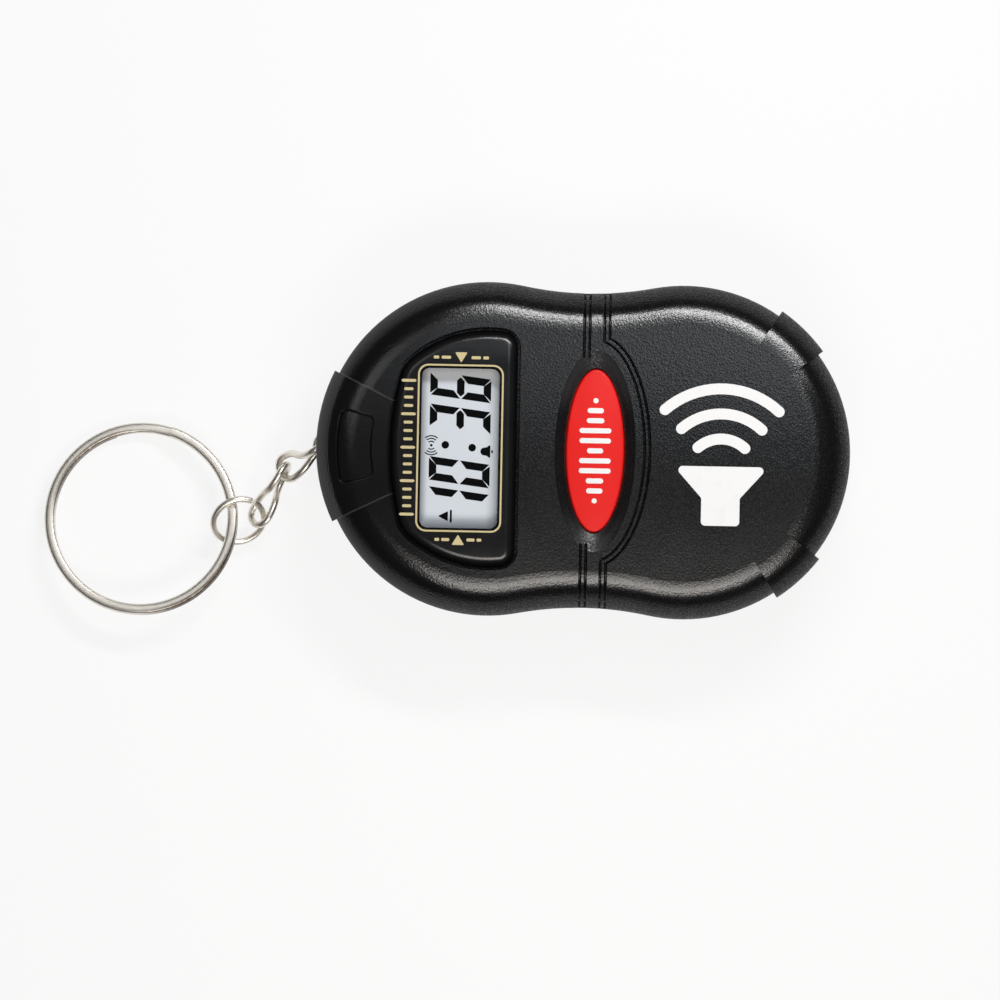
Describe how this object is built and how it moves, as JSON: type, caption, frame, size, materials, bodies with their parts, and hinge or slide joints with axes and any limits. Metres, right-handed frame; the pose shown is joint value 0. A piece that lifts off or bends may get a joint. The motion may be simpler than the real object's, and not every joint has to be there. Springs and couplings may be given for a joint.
{
  "type": "talking key-chain clock",
  "caption": "Peanut-shaped black key-chain clock with a digital display, a red talk button that speaks the time, a rear speaker grille and a short chain with a split ring.",
  "frame": {"origin": "on the flat rear face, midway between the two lobes of the case", "axes": "+X along the case away from the key ring, +Y across the case, +Z out of the clock's face; it lies on its rear face"},
  "size_m": [0.0966, 0.0408, 0.0163],
  "materials": {
    "case_plastic": "fine textured black",
    "bezel_plastic": "gloss black",
    "clear_lens": "clear polished",
    "lcd_glass": "grey reflective",
    "white_plastic": "white moulded",
    "strip_rubber": "striped rubber",
    "board_laminate": "green solder mask",
    "epoxy": "black drop of resin",
    "can_steel": "plain plated",
    "red_plastic": "satin red",
    "dome_rubber": "grey silicone",
    "key_plastic": "matte black",
    "magnet": "sintered grey",
    "cone_film": "amber film",
    "lead_insulation": "red insulation",
    "contact_brass": "plated sheet",
    "screw_steel": "zinc plated",
    "nickel": "bright nickel plate"
  },
  "bodies": {
    "case": {"front_shell": "case_plastic", "rear_shell": "case_plastic", "display_bezel": "bezel_plastic", "display_lens": "clear_lens", "lcd_panel": "lcd_glass", "lcd_carrier": "white_plastic", "zebra_strips": "strip_rubber", "circuit_board": "board_laminate", "chip_blob": "epoxy", "quartz_crystal": "can_steel", "talk_dome": "dome_rubber", "set_switches": "key_plastic", "speaker_frame": "can_steel", "speaker_magnet": "magnet", "speaker_cone": "cone_film", "speaker_leads": "lead_insulation", "battery_cells": "can_steel", "battery_contacts": "contact_brass", "case_screws": "screw_steel", "board_screws": "screw_steel", "chain_staple": "nickel"},
    "talk_key": {"talk_button": "red_plastic"},
    "mode_key": {"mode_button": "key_plastic"},
    "set_key": {"set_button": "key_plastic"},
    "door": {"battery_door": "case_plastic", "door_screw": "screw_steel", "battery_bridge": "contact_brass"},
    "middle_link": {"middle_link": "nickel"},
    "end_link": {"end_link": "nickel"},
    "jump_ring": {"jump_ring": "nickel"},
    "split_ring": {"split_ring": "nickel"}
  },
  "joints": [
    {"name": "talk_press", "type": "slide", "parent": "case", "child": "talk_key", "axis": [0, 0, -1], "range_m": [0, 0.0008], "stiffness_N_per_m": 500, "deforming": ["talk_dome"]},
    {"name": "mode_press", "type": "slide", "parent": "case", "child": "mode_key", "axis": [0, 0, 1], "range_m": [0, 0.00045], "stiffness_N_per_m": 600},
    {"name": "set_press", "type": "slide", "parent": "case", "child": "set_key", "axis": [0, 0, 1], "range_m": [0, 0.00045], "stiffness_N_per_m": 600},
    {"name": "door_lift", "type": "slide", "parent": "case", "child": "door", "axis": [0, 0, -1], "range_m": [0, 0.008]},
    {"name": "middle_swing", "type": "hinge", "parent": "case", "child": "middle_link", "pos_m": [-0.03239, -0.00016, 0.007], "axis": [-0.1045, 0.9945, 0], "range_deg": [-25, 40]},
    {"name": "end_swing", "type": "hinge", "parent": "middle_link", "child": "end_link", "pos_m": [-0.03664, -0.0033, 0.00255], "axis": [-0.4889, 0.8683, -0.0835], "range_deg": [-45, 45]},
    {"name": "jump_swing", "type": "hinge", "parent": "end_link", "child": "jump_ring", "pos_m": [-0.03957, -0.00953, 0.00298], "axis": [0.6592, -0.3431, 0.6691], "range_deg": [-18, 45]},
    {"name": "ring_swing", "type": "hinge", "parent": "jump_ring", "child": "split_ring", "pos_m": [-0.04225, -0.00946, 0.00377], "axis": [0.0362, 0.9884, -0.1474], "range_deg": [-40, 40]}
  ]
}
